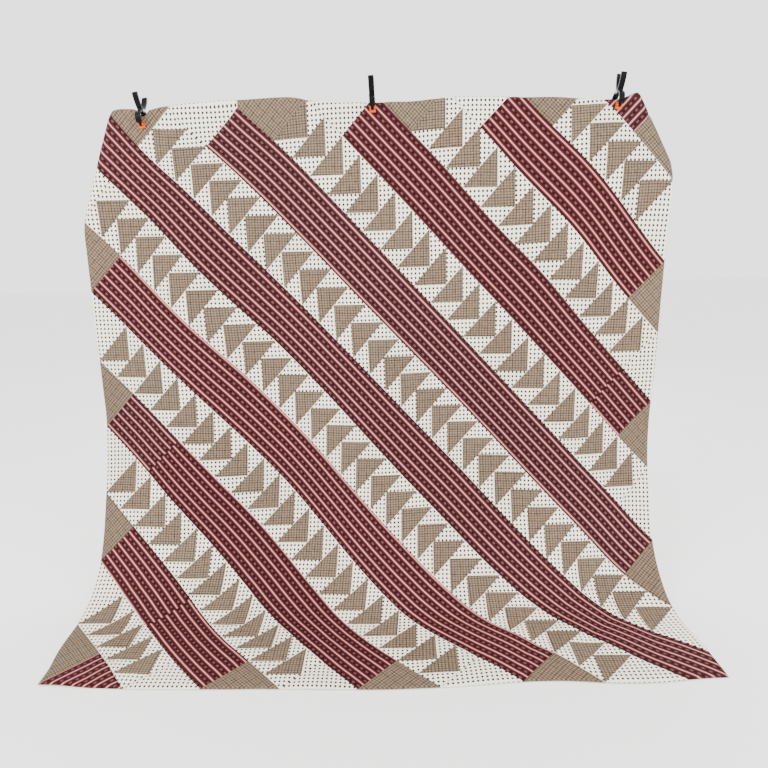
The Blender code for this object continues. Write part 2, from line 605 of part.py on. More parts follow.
def clamp(name, x, rise, turn, lean, grips_rail):
    """Levers opened until both pads meet what they grip, the whole clamp leaning about its pads."""
    slack = JAW_PAD_WIDTH / 2 * abs(math.sin(turn))
    reach = JAW_PAD_FACE + GAP + slack
    front_tip = -STACK_HALF - reach
    rear_tip = (RAIL_Y + RAIL_RADIUS if grips_rail else STACK_HALF) + reach
    pivot_y = (front_tip + rear_tip) / 2 if grips_rail else RAIL_Y - 0.005
    closed = math.atan2(TIP_OUT, TIP_DOWN)
    radius = math.hypot(TIP_OUT, TIP_DOWN)
    open_front = math.asin((pivot_y - front_tip) / math.cos(turn) / radius) - closed
    open_rear = math.asin((rear_tip - pivot_y) / math.cos(turn) / radius) - closed
    drop = radius * math.cos(open_front + closed)
    grip = Vector((x, RAIL_Y, RAIL_Z + rise))
    leaning = Matrix.Translation(grip) @ Matrix.Rotation(lean, 4, "Y") @ Matrix.Translation(-grip)
    faces = Matrix.Rotation(lean, 4, "Y") @ Matrix.Rotation(turn, 4, "Z")
    pivot = leaning @ Matrix.Translation((x, pivot_y, RAIL_Z + rise + drop)) @ Matrix.Rotation(turn, 4, "Z")
    front = pivot @ Matrix.Rotation(-open_front, 4, "X")
    rear = pivot @ Matrix.Rotation(open_rear, 4, "X")
    lever(f"{name}_front_lever", False, front)
    lever(f"{name}_rear_lever", True, rear)
    pivot_pin(f"{name}_pin", pivot)
    torsion_spring(f"{name}_spring", rear, math.radians(12.0))
    jaw_pad(f"{name}_front_pad", Matrix.Translation(front @ Vector((0, -TIP_OUT, -TIP_DOWN))) @ faces)
    back = faces @ Matrix.Rotation(math.pi, 4, "Z")
    jaw_pad(f"{name}_rear_pad", Matrix.Translation(rear @ Vector((0, TIP_OUT, -TIP_DOWN))) @ back)


# ---------------------------------------------------------------- shading
def shade_round():
    """Applies each piece's modifiers and shades its curved faces smooth between sharp edges."""
    bpy.context.view_layer.update()
    graph = bpy.context.evaluated_depsgraph_get()
    pieces = [piece for piece in PARTS.objects if piece.type == "MESH"]
    solids = [bpy.data.meshes.new_from_object(piece.evaluated_get(graph)) for piece in pieces]
    for piece, solid in zip(pieces, solids):
        piece.modifiers.clear()
        piece.data = solid
        solid.shade_smooth()
        solid.set_sharp_from_angle(angle=math.radians(30.0))


# ---------------------------------------------------------------- place on the origin
def centre_on_origin():
    """Moves every piece so that the footprint's middle is at x = y = 0, standing on z = 0."""
    bpy.context.view_layer.update()
    graph = bpy.context.evaluated_depsgraph_get()
    corners = []
    for piece in PARTS.objects:
        mesh = piece.evaluated_get(graph).to_mesh()
        corners += [piece.matrix_world @ vert.co for vert in mesh.vertices]
    shift = [-(min(c[n] for c in corners) + max(c[n] for c in corners)) / 2 for n in (0, 1)]
    stand = bpy.data.objects.new("stand", None)
    PARTS.objects.link(stand)
    for piece in list(PARTS.objects) + list(CUTTERS.objects):
        if piece is not stand:
            piece.parent = stand
    stand.location = (shift[0], shift[1], 0.0)


quilt()
rail()
uprights()
for each in CLAMPS:
    clamp(*each)
shade_round()
centre_on_origin()
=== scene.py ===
# %% [markdown]
# # A pieced quilt on a display rack
#
# The object is a square bed quilt, about two metres on each side, that hangs from the rail of
# a telescoping rack by three spring clamps and sweeps forward onto the floor. This lesson
# dresses a plain CAD model of it: the cloth is modelled again with its piecing, seams and
# folds, the clamps and the rack keep their shape, and every surface gets a material of nodes.
#
# The first cell loads the CAD model. Its pieces never move: what we make is placed on them.

# %% Load the frame
import json
import math
import random

import bpy
import numpy as np
from mathutils import Matrix, Vector


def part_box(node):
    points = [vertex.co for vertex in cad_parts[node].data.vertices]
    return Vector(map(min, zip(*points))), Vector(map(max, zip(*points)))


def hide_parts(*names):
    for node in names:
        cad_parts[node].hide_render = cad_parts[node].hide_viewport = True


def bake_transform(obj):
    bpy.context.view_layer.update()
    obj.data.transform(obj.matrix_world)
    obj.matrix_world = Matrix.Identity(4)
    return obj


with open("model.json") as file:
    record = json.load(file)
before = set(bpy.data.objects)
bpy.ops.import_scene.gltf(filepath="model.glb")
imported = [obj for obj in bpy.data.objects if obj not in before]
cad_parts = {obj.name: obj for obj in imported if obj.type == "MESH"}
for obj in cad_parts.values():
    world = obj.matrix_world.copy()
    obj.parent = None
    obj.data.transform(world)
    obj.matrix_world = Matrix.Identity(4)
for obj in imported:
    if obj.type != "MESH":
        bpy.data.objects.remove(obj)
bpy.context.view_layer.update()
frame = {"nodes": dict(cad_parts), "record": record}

# %% [markdown]
# ## The camera, the floor and the light
#
# The camera stands a little to the right of the quilt's middle, at chest height, and looks
# slightly down. A camera looks along its own -Z with +Y up, so its matrix is built from the
# three directions instead of from angles. The drape's own zero is where the rail's centre
# line says: the rail's box gives it.

# %% Camera
RAIL_Y = 0.0128              # the rail's centre behind the quilt's middle plane
rail_low, rail_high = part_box("rail_middle")
ORIGIN = Vector(((rail_low.x + rail_high.x) / 2, (rail_low.y + rail_high.y) / 2 - RAIL_Y, 0.0))


def aim_camera(place, down, turn, roll, lens):
    """A camera from its place, its angles in radians and its focal length in millimetres."""
    camera = bpy.data.objects.new("camera", bpy.data.cameras.new("camera"))
    bpy.context.scene.collection.objects.link(camera)
    camera.data.lens = lens
    camera.data.sensor_width = 36.0
    ahead = Vector((math.sin(turn) * math.cos(down), math.cos(turn) * math.cos(down), -math.sin(down)))
    right = Vector((math.cos(turn), -math.sin(turn), 0.0))
    up = right.cross(ahead)
    across = right * math.cos(roll) + up * math.sin(roll)
    upward = up * math.cos(roll) - right * math.sin(roll)
    axes = Matrix((across, upward, -ahead)).transposed().to_4x4()
    camera.matrix_world = Matrix.Translation(Vector(place) + ORIGIN) @ axes
    camera.data.dof.use_dof = False
    bpy.context.scene.camera = camera
    return camera


camera = aim_camera((0.104, -2.166, 1.204), 0.2359, -0.0340, -0.0246, 30.47)
print("camera at", [round(c, 3) for c in camera.matrix_world.translation])

# %% Floor and lights
def soft_light(name, place, target, size, watts):
    light = bpy.data.lights.new(name, "AREA")
    light.energy = watts
    light.shape = "RECTANGLE"
    light.size, light.size_y = size
    lamp = bpy.data.objects.new(name, light)
    bpy.context.scene.collection.objects.link(lamp)
    lamp.location = place
    lamp.rotation_euler = (Vector(target) - Vector(place)).to_track_quat("-Z", "Y").to_euler()
    return lamp


bpy.ops.mesh.primitive_plane_add(size=24.0, location=(0, 0, -0.0005))
floor = bpy.context.object
floor.name = "studio_floor"
paint = bpy.data.materials.new("studio_floor")
paint.use_nodes = True
paint.node_tree.nodes["Principled BSDF"].inputs["Base Color"].default_value = (0.93, 0.93, 0.92, 1)
paint.node_tree.nodes["Principled BSDF"].inputs["Roughness"].default_value = 0.95
floor.data.materials.append(paint)

world = bpy.data.worlds.new("studio")
world.use_nodes = True
world.node_tree.nodes["Background"].inputs["Color"].default_value = (1.0, 1.0, 1.0, 1)
world.node_tree.nodes["Background"].inputs["Strength"].default_value = 2.4
bpy.context.scene.world = world
soft_light("key", (-2.2, -2.6, 2.9), (0, 0, 0.8), (2.4, 2.4), 150)
soft_light("fill", (2.6, -2.2, 2.2), (0, 0, 0.8), (2.4, 2.4), 80)
soft_light("back", (0.4, 3.0, 2.6), (0, 0, 0.9), (2.6, 2.0), 70)

# %% [markdown]
# ## How the quilt is pieced
#
# The top is sewn from diagonal strips of one width. Striped burgundy bands take turns with
# strips of flying geese, a tan triangle with two small cream ones beside it, over and over.
# Larger triangles fill the strips' ends, and two half-and-half triangles fill the corners.
# Every seam lies on a lattice of squares and their diagonals, so the grid that becomes the
# cloth has its lines on that lattice, and each seam falls on an edge of the mesh.
#
# Here `a` runs along the strips and `d` across them, in strip widths.

# %% Piecing
STRIP = 0.160
ROOT2 = math.sqrt(2.0)
DIAGONAL = 17.5                      # strip widths from corner to corner
SIDE_STRIPS = DIAGONAL / ROOT2       # the quilt's side in strip widths
SIDE = SIDE_STRIPS * STRIP
CELLS = 35                           # lattice squares along a side
OUTER_STRIP = 7                      # strips count from 0 in the middle to this at each side
LAST_SEAM = OUTER_STRIP + 0.5        # past this seam lies a corner patch
UNIT = 0.5                           # one flying goose takes half a strip width
BURGUNDY, TAN, CREAM = 0, 1, 2
UP_LEFT = (1, -1, 7)                 # the strips whose geese fly up and left
JOINTS = {-4: 5.9, -6: 8.6, 4: 12.0}  # bands sewn from two lengths, and where
# How far each band's stripes are slid sideways, in metres, before and after its joint.
STRIPE_SLIDES = {0: (0.001, 0.001), 2: (0.010, 0.010), -2: (-0.006, -0.006), 4: (0.0, 0.006),
                 -4: (-0.016, -0.002), 6: (0.014, 0.014), -6: (0.003, -0.010)}
NO_JOINT = 99.0                      # a distance that no seam shade reaches


def piecing(u, v):
    """Fabric, patch number and distance to the nearest seam, for arrays in strip widths."""
    a, d = (u + v) / ROOT2, (u - v) / ROOT2
    k = np.clip(np.round(d), -OUTER_STRIP, OUTER_STRIP)
    size = np.abs(k)
    start = np.where(k == 0, 0.0, size + 0.5)
    end = DIAGONAL - start
    q = d - k
    band = size % 2 == 0
    corner = np.abs(d) > LAST_SEAM
    before, after = (a < start) & ~corner, (a > end) & ~corner
    body = ~(before | after | corner)

    along = a - start
    unit = np.floor(along / UNIT)
    p = along - unit * UNIT
    flies_up = np.isin(k, UP_LEFT)
    tip = np.where(flies_up, p, UNIT - p)         # the goose is this half wide here
    goose = np.abs(q) < tip

    fabric = np.full(u.shape, CREAM)
    fabric[body & band] = BURGUNDY
    fabric[body & ~band & goose] = TAN
    fabric[before] = np.where(band == (k > 0), CREAM, TAN)[before]
    fabric[after] = np.where(band, TAN, CREAM)[after]
    upper = corner & (a < DIAGONAL / 2)
    fabric[corner] = np.where(upper == (d > 0), BURGUNDY, TAN)[corner]

    patch = (k + 8) * 400
    third = np.where(goose, 0, np.where(q > 0, 1, 2))
    patch = np.where(body & ~band, patch + 8 + unit * 3 + third, patch)
    patch = np.where(before, patch + 1, np.where(after, patch + 2, patch))
    patch = np.where(corner, patch + 3 + upper, patch).astype(int)
    joined = np.full(u.shape, NO_JOINT)
    for strip, joint in JOINTS.items():
        here = body & (k == strip)
        patch[here & (a > joint)] += 5
        joined = np.where(here, np.abs(a - joint), joined)

    side = 0.5 - np.abs(q)
    seam = np.where(k == 0, side, np.minimum(side, np.minimum(np.abs(a - start), np.abs(a - end))))
    seam = np.minimum(seam, joined)
    legs = np.abs(np.abs(q) - tip) / ROOT2
    units = np.minimum(legs, np.minimum(p, UNIT - p))
    seam = np.where(body & ~band, np.minimum(seam, units), seam)
    seam = np.where(corner, np.minimum(np.abs(np.abs(d) - LAST_SEAM), np.abs(a - DIAGONAL / 2)), seam)
    return fabric, patch, seam * STRIP


# %% [markdown]
# ## How the quilt hangs
#
# A heavy cloth that hangs from a rail and lies on the floor falls straight, turns in a long
# sweep that tightens as it nears the floor, and ends flat. The sweep is integrated step by
# step from the cloth's turning angle. Past the rail's ends the two top corners flop
# backwards over a diagonal fold. The cloth hangs 4% narrower and 4% longer than its flat
# size. A top of diagonal strips is on the bias and stretches easily, which may be why.

# %% Hang and sweep
HEM_Z = 1.606
REST = 0.0025                        # the cloth's middle above what it lies on
ACROSS, DOWN = 0.959, 1.041          # the cloth hangs this much narrower and longer
BEND_LENGTH, BEND_POWER = 1.17, 3.0
CORNERS = {-1: (0.147, 0.336), 1: (0.133, 0.235)}    # each fold's legs, across and down
CORNER_RADIUS, CORNER_TURN = 0.030, math.radians(108.0)
WAVE_DEPTH, WAVE_LENGTH = 0.014, 0.62

BEND_STEPS = 400

steps = np.linspace(0.0, 1.0, BEND_STEPS + 1)
angles = math.pi / 2 * steps ** BEND_POWER
stride = BEND_LENGTH / BEND_STEPS
fall = np.concatenate([[0], np.cumsum((np.cos(angles[1:]) + np.cos(angles[:-1])) / 2)]) * stride
reach = np.concatenate([[0], np.cumsum((np.sin(angles[1:]) + np.sin(angles[:-1])) / 2)]) * stride
HANG = HEM_Z - REST - fall[-1]
print(f"hangs straight for {HANG:.3f} m, then sweeps {reach[-1]:.3f} m forward")


def smooth_step(t):
    t = np.clip(t, 0.0, 1.0)
    return t * t * (3 - 2 * t)


def sweep(length):
    """Forward reach and height of the cloth after this length from the hem."""
    bend = np.clip((length - HANG) / BEND_LENGTH, 0.0, 1.0)
    flat = np.maximum(length - HANG - BEND_LENGTH, 0.0)
    forward = np.interp(bend, steps, reach) + flat
    height = HEM_Z - np.minimum(length, HANG) - np.interp(bend, steps, fall)
    return forward, height


def fold_corner(u, v):
    """Turns the cloth beyond the diagonal fold lines backwards."""
    back = np.zeros_like(u)
    for side, (across, down) in CORNERS.items():
        size = math.hypot(across, down)
        out_u, out_v = down / size, -across / size
        past = (side * u - (SIDE / 2 - across)) * out_u + v * out_v + CORNER_RADIUS
        turn = np.clip(past / CORNER_RADIUS, 0.0, CORNER_TURN)
        rest = np.maximum(past, 0) - turn * CORNER_RADIUS
        out = CORNER_RADIUS * np.sin(turn) + rest * np.cos(turn)
        move = np.where(past > 0, out - past, 0.0)
        u = u + side * move * out_u
        v = v + move * out_v
        back = back + CORNER_RADIUS * (1 - np.cos(turn)) + rest * np.sin(turn)
    return u, v, back


# %% [markdown]
# ## Pulls, hem and creases
#
# A real quilt never hangs as true as its drawing. A few soft pulls move the cloth in its own
# plane: each has a place on the flat quilt in strip widths, a size, and how far it moves the
# cloth to the right, forward and up. The hem dips where a clamp bites and rises between.

# %% Pulls
PULLS = (        # across, down and size in strip widths, then right, forward and up in metres
    (4.6, 6.0, 1.9, 0.018, 0.0, -0.003),
    (1.1, 2.4, 1.0, 0.012, 0.0, 0.000),
    (3.3, 0.0, 1.1, 0.000, 0.0, -0.026),
    (1.9, 0.5, 0.8, -0.004, 0.0, -0.018),
    (3.4, 4.9, 1.0, 0.008, 0.0, 0.0),
    (12.3, 8.8, 0.8, -0.010, 0.0, -0.004),
    (12.2, 1.8, 0.7, 0.004, 0.0, 0.010),
    (8.2, 1.0, 1.2, -0.003, 0.0, 0.015),
    (11.0, 1.2, 1.2, 0.014, 0.0, 0.019),
    (10.1, 3.0, 1.0, 0.007, 0.0, 0.011),
    (11.5, 9.9, 1.1, -0.026, 0.0, 0.007),
    (12.2, 6.9, 1.3, -0.014, 0.0, 0.004),
    (0.6, 8.0, 1.2, -0.018, 0.0, 0.000),
    (6.2, 11.3, 1.5, -0.017, 0.010, -0.010),
    (3.0, 11.2, 1.2, -0.008, 0.010, -0.010),
    (0.0, 12.4, 0.9, 0.028, -0.012, 0.0),
    (9.3, 12.2, 1.4, 0.004, -0.028, 0.0),
    (12.4, 12.4, 1.2, 0.014, -0.040, 0.0),
)


PULL_SPREAD = 0.75                   # a pull's width as a share of its size
PULL_FLOOR, PULL_RISE = 0.02, 0.25   # below this height a pull lifts nothing, then fades in


def pull(u, v, height):
    """Sum of the pulls at each point; what lies on the floor only slides on it."""
    right, forward, up = np.zeros_like(u), np.zeros_like(u), np.zeros_like(u)
    for pu, pv, size, dx, dy, dz in PULLS:
        near = np.exp(-((u - pu) ** 2 + (v - pv) ** 2) / (2 * (size * PULL_SPREAD) ** 2))
        right += dx * near
        forward += dy * near
        up += dz * near
    return right, forward, up * smooth_step((height - PULL_FLOOR) / PULL_RISE)


SIDES = ("left", "middle", "right")
PAD_BOXES = [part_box(f"clamp_{side}_front_pad") for side in SIDES]
CLAMPS = [(Vector(low) + Vector(high)) / 2 - ORIGIN for low, high in PAD_BOXES]
HEM_ABOVE_PADS = 0.026
# The hem's height along the rail; HEM_SOFT of HEM_STEPS fine steps round off its corners.
HEM_STEPS, HEM_SOFT = 400, 17
HEM = ((-0.86, 1.572), (-0.80, 1.586), (-0.74, 1.584), (-0.69, 1.579), (-0.64, 1.591), (-0.48, 1.604),
       (-0.24, 1.605), (-0.15, 1.588), (-0.08, 1.583), (0.14, 1.581), (0.26, 1.591), (0.42, 1.587),
       (0.63, 1.578), (0.71, 1.569), (0.79, 1.571), (0.835, 1.591), (0.90, 1.588))
print("clamps at x", [round(c.x, 3) for c in CLAMPS])


def hem_line(x):
    """Height of the hem's outline seen from the front."""
    fine = np.linspace(HEM[0][0], HEM[-1][0], HEM_STEPS)
    line = np.interp(fine, [place for place, _ in HEM], [height for _, height in HEM])
    window = np.hanning(HEM_SOFT)
    padded = np.pad(line, HEM_SOFT // 2, mode="edge")
    soft = np.convolve(padded, window / window.sum(), mode="valid")
    return np.interp(x, fine, soft)


SWELL_WAVES, SWELL_SHARE = 7, 4.0    # how many sines are added, and what their sum is divided by


def waviness(u, v, seed, length):
    """Smooth random swells of about this length, seldom past -1 and 1; u and v are in metres."""
    picks = random.Random(seed)
    total = np.zeros_like(u)
    for _ in range(SWELL_WAVES):
        angle = picks.uniform(0, math.pi)
        size = length * picks.uniform(0.7, 1.5)
        along = u * math.cos(angle) + v * math.sin(angle)
        total += np.sin(math.tau * along / size + picks.uniform(0, math.tau))
    return total / SWELL_SHARE


# %% The cloth's middle surface
FOLDED_FROM, FOLDED_SPAN = 0.002, 0.012      # cloth this far back is a folded corner
DIP_WIDTH = 0.018                            # half of the dip where a clamp bites
LEAN_FROM, LEAN_SPAN = -0.66, 0.30           # the hem leans back to the left of here
ROLL_RADIUS, LEAN_RADIUS = 0.007, 0.007      # the hem's roll, and what leaning adds to it
ROLL_TURN = math.radians(150)
CREASE_WIDTH, CREASE_DEPTH = 0.005, 0.004
WAVE_FROM, WAVE_SPAN = 0.15, 0.9             # the folds grow over this length from the hem
SETTLE_HEIGHT = 0.35                         # and die out over this height above the floor
SWELLS = ((3, 0.42, 0.0035), (8, 0.19, 0.0012))    # seed, length and depth
SWELL_BACK = 0.0035
FREE_FROM, FREE_SPAN = 0.06, 0.4             # the swells grow over this length from the hem
FLOOR_SEED, FLOOR_LENGTH, FLOOR_LIFT = 21, 0.30, 0.003
FLOOR_TOP, FLOOR_SPAN = 0.12, 0.10           # only cloth below this height lifts off the floor


def middle(u, v):
    """Where the cloth's mid-thickness lies: u across from the middle and v down, metres."""
    su, sv = u / STRIP + SIDE_STRIPS / 2, v / STRIP
    flat_u, flat_v, back = fold_corner(u, v)
    length = flat_v * DOWN
    forward, height = sweep(length)
    x = flat_u * ACROSS
    right, ahead, up = pull(su, sv, height)
    grown = np.clip((length - WAVE_FROM) / WAVE_SPAN, 0, 1)
    settled = np.clip((height - REST) / SETTLE_HEIGHT, 0, 1)
    x = x + right
    height = height + up
    forward = forward + ahead

    top = hem_line(x)
    flat = smooth_step((back - FOLDED_FROM) / FOLDED_SPAN)
    for place in CLAMPS:
        near = np.exp(-((x - place.x) / DIP_WIDTH) ** 4)
        top = top + (np.minimum(place.z + HEM_ABOVE_PADS, top) - top) * near
        flat = np.maximum(flat, near)
    leaning = 1 - smooth_step((x - LEAN_FROM) / LEAN_SPAN)
    radius = ROLL_RADIUS + LEAN_RADIUS * leaning
    base = top - radius
    over = np.maximum(height - base, 0.0)
    turn = np.clip(over / radius, 0, ROLL_TURN)
    rest = over - turn * radius
    rolled = radius * (1 - np.cos(turn)) + rest * np.sin(turn)
    rise = radius * np.sin(turn) + rest * np.cos(turn)
    pressed = radius * (1 - np.exp(-over / radius))
    crease = np.exp(-((height - base) / CREASE_WIDTH) ** 2) * leaning * (1 - flat)
    height = np.where(over > 0, base + rise * (1 - flat) + pressed * flat, height)
    back = back + rolled * (1 - flat) + CREASE_DEPTH * crease

    wave = WAVE_DEPTH * grown * settled * np.cos(math.tau * x / WAVE_LENGTH)
    swell = sum(waviness(u, v, seed, size) * depth for seed, size, depth in SWELLS)
    free = smooth_step((length - FREE_FROM) / FREE_SPAN)
    y = back - forward - wave - (swell + SWELL_BACK) * free * settled
    lift = np.abs(waviness(u, v, FLOOR_SEED, FLOOR_LENGTH)) * FLOOR_LIFT
    height = height + lift * smooth_step((FLOOR_TOP - height) / FLOOR_SPAN)
    height = np.maximum(height, REST)
    return np.stack([x + ORIGIN.x, y + ORIGIN.y, height], axis=-1)


# %% [markdown]
# ## The pieced top
#
# The top is one grid of small squares whose lines fall on the lattice of seams. Squares that
# a diagonal seam crosses are cut along it, so every face belongs to one patch. The grid is
# then laid on the drape, and each vertex stands off the middle surface by the cloth's half
# thickness and the patch's puff: quilted patches swell, and seams lie in shallow valleys.

# %% Grid of the top
CELL = SIDE / CELLS
TOP_STEPS = 8                        # mesh squares along one lattice square
MARGIN_ROWS = 3                      # rows above the piecing, for the extra cloth at the hem


def make_grid(name, columns, rows):
    """A square grid from the add menu; it is stretched to its place afterwards."""
    bpy.ops.object.select_all(action="DESELECT")
    bpy.ops.mesh.primitive_grid_add(x_subdivisions=columns, y_subdivisions=rows, size=1.0)
    grid = bpy.context.object
    grid.name = grid.data.name = name
    return grid


def vertex_places(mesh):
    flat = np.zeros(len(mesh.vertices) * 3)
    mesh.vertices.foreach_get("co", flat)
    return flat.reshape(-1, 3)


def face_centres(mesh):
    flat = np.zeros(len(mesh.polygons) * 3)
    mesh.polygons.foreach_get("center", flat)
    return flat.reshape(-1, 3)


def split_faces(grid, marked, method):
    """Cuts the marked squares in two along one of their diagonals."""
    bpy.ops.object.select_all(action="DESELECT")
    bpy.context.view_layer.objects.active = grid
    bpy.ops.object.mode_set(mode="EDIT")
    bpy.ops.mesh.select_mode(type="FACE")
    bpy.ops.mesh.select_all(action="DESELECT")
    bpy.ops.object.mode_set(mode="OBJECT")
    grid.data.polygons.foreach_set("select", marked)
    bpy.ops.object.mode_set(mode="EDIT")
    bpy.ops.mesh.quads_convert_to_tris(quad_method=method, ngon_method="BEAUTY")
    bpy.ops.object.mode_set(mode="OBJECT")


columns = CELLS * TOP_STEPS
rows = columns + MARGIN_ROWS
top = make_grid("pieced_top", columns, rows)


def grid_place(points):
    """Column and row of points on the grid, rows counted down from the piecing's top edge."""
    return (points[:, 0] + 0.5) * columns, (0.5 - points[:, 1]) * rows - MARGIN_ROWS


for falling, method in ((True, "FIXED_ALTERNATE"), (False, "FIXED")):
    column, row = grid_place(face_centres(top.data))
    i, j = np.floor(column) % TOP_STEPS, np.floor(row) % TOP_STEPS
    sides = np.zeros(len(top.data.polygons), int)
    top.data.polygons.foreach_get("loop_total", sides)
    crossed = (i == j) if falling else (i + j == TOP_STEPS - 1)
    split_faces(top, crossed & (sides == 4), method)
print("top:", len(top.data.vertices), "vertices,", len(top.data.polygons), "faces")

# %% Fabric, patch and print of each face
FACE_TINY = 0.004                    # keeps points off the quilt's outline, strip widths
column, row = grid_place(face_centres(top.data))
centre_u = column * CELL / TOP_STEPS / STRIP
centre_v = np.maximum(row * CELL / TOP_STEPS / STRIP, FACE_TINY)
fabric, patch, _ = piecing(centre_u, centre_v)
print("faces of burgundy, tan and cream:", [int((fabric == f).sum()) for f in range(3)])
print("patches:", len(np.unique(patch)))


def patch_random(seed, low, high):
    """One random number for each patch, spread to its faces."""
    picks = random.Random(seed)
    table = {int(number): picks.uniform(low, high) for number in np.unique(patch)}
    return np.array([table[int(number)] for number in patch])


MIDDLE_BAND_STRETCH = 0.958          # the middle band's stripes lie a little wider apart
PRINT_SHIFT = 0.4                    # each patch is cut from anywhere within this, metres
PRINT_TURN = 1.6                     # and this many degrees off the thread


def print_map(mesh):
    """A UV map in metres that places each patch's print as it was cut."""
    totals = np.zeros(len(mesh.polygons), int)
    mesh.polygons.foreach_get("loop_total", totals)
    face = np.repeat(np.arange(len(totals)), totals)
    corner = np.zeros(len(mesh.loops), int)
    mesh.loops.foreach_get("vertex_index", corner)
    column, row = grid_place(vertex_places(mesh)[corner])
    u, v = column * CELL / TOP_STEPS, row * CELL / TOP_STEPS
    a, d = (u + v) / ROOT2, (u - v) / ROOT2
    k = np.clip(np.round((centre_u - centre_v) / ROOT2), -OUTER_STRIP, OUTER_STRIP)[face]
    middle_a = ((centre_u + centre_v) / ROOT2)[face]
    middle_d = ((centre_u - centre_v) / ROOT2)[face]
    kind = fabric[face]
    shift_x, shift_y = patch_random(1, 0, PRINT_SHIFT)[face], patch_random(2, 0, PRINT_SHIFT)[face]
    turn = np.radians(patch_random(3, -PRINT_TURN, PRINT_TURN)[face])
    corner_patch = np.abs(middle_d) > LAST_SEAM
    size = np.abs(k)
    start = np.where(k == 0, 0.0, size + 0.5)
    at_end = (middle_a < start) | (middle_a > DIAGONAL - start) | corner_patch
    along = np.where(corner_patch, d, a)
    across = np.where(corner_patch, a - DIAGONAL / 2 * STRIP, d - k * STRIP)
    x = np.where(kind == BURGUNDY, along, np.where((kind == TAN) & at_end, a, u))
    y = np.where(kind == BURGUNDY, across, np.where((kind == TAN) & at_end, d, v))
    y = np.where((kind == BURGUNDY) & (k == 0) & ~corner_patch, y * MIDDLE_BAND_STRETCH, y)
    slide = np.where(kind == BURGUNDY, 0.0, shift_y)
    for strip, (before, after) in STRIPE_SLIDES.items():
        here = (kind == BURGUNDY) & ~corner_patch & (k == strip)
        past_joint = middle_a > JOINTS.get(strip, 0.0)
        slide = np.where(here, np.where(past_joint, -after, -before), slide)
    turned_x = x * np.cos(turn) - y * np.sin(turn)
    turned_y = x * np.sin(turn) + y * np.cos(turn)
    final_x = np.where(kind == BURGUNDY, x, turned_x) + shift_x
    final_y = np.where(kind == BURGUNDY, y, turned_y) + slide
    layer = mesh.uv_layers.new(name="print")
    layer.data.foreach_set("uv", np.stack([final_x, final_y], axis=-1).ravel())


top.data.uv_layers.remove(top.data.uv_layers[0])
print_map(top.data)
for name, seed in (("tone", 11), ("fade", 12)):
    made = top.data.attributes.new(name, "FLOAT", "FACE")
    made.data.foreach_set("value", patch_random(seed, 0.0, 1.0).astype(np.float32))

# %% Lay the top on the drape
HALF = 0.0018                        # half of the cloth's thickness at its seams
PUFF = 0.0019                        # how far the patches swell between the seams
BACK_PUFF = 0.0004                   # the same on the plain back
PUFF_WIDTH, PUFF_POWER = 0.013, 1.2  # how fast the swelling rises from a seam
PUCKER_SEED, PUCKER_LENGTH, PUCKER_DEPTH, PUCKER_FADE = 31, 0.034, 0.0005, 0.020
EDGE_ROUND = 0.009                   # the knife edge rounds off over this
FLOOR_GAP = 0.0004
SEAM_SHADE = 0.006                   # a seam's shade fades over this
MARGIN, EXTRA = 0.004, 0.024         # cloth above the piecing, and more of it at one place
EXTRA_AT, EXTRA_WIDTH = 3.3, 1.2     # that place and its width, strip widths
PAD_REACH, PAD_FADE = 0.020, 0.030   # a clamp's pads press the cloth flat this far


def flat_place(column, row, steps_each):
    """Metres across from the middle and down; rows above zero are the hem's extra cloth."""
    u = column * CELL / steps_each - SIDE / 2
    strips = u / STRIP + SIDE_STRIPS / 2
    extra = MARGIN + EXTRA * np.exp(-((strips - EXTRA_AT) / EXTRA_WIDTH) ** 2)
    v = np.where(row < 0, extra * row / MARGIN_ROWS, row * CELL / steps_each)
    return u, v


def outward(places):
    """Unit normals of a surface stored as rows of points, towards the quilt's face."""
    down, across = np.gradient(places, axis=0), np.gradient(places, axis=1)
    normal = np.cross(down, across)
    return normal / np.linalg.norm(normal, axis=-1, keepdims=True)


def near_pads(places):
    """1 under a clamp's pads, 0 away from them."""
    share = np.zeros(places.shape[:-1])
    for pad in CLAMPS:
        middle_pad = pad + ORIGIN
        apart = np.hypot(places[..., 0] - middle_pad.x, places[..., 2] - middle_pad.z)
        share = np.maximum(share, 1 - smooth_step((apart - PAD_REACH) / PAD_FADE))
    return share


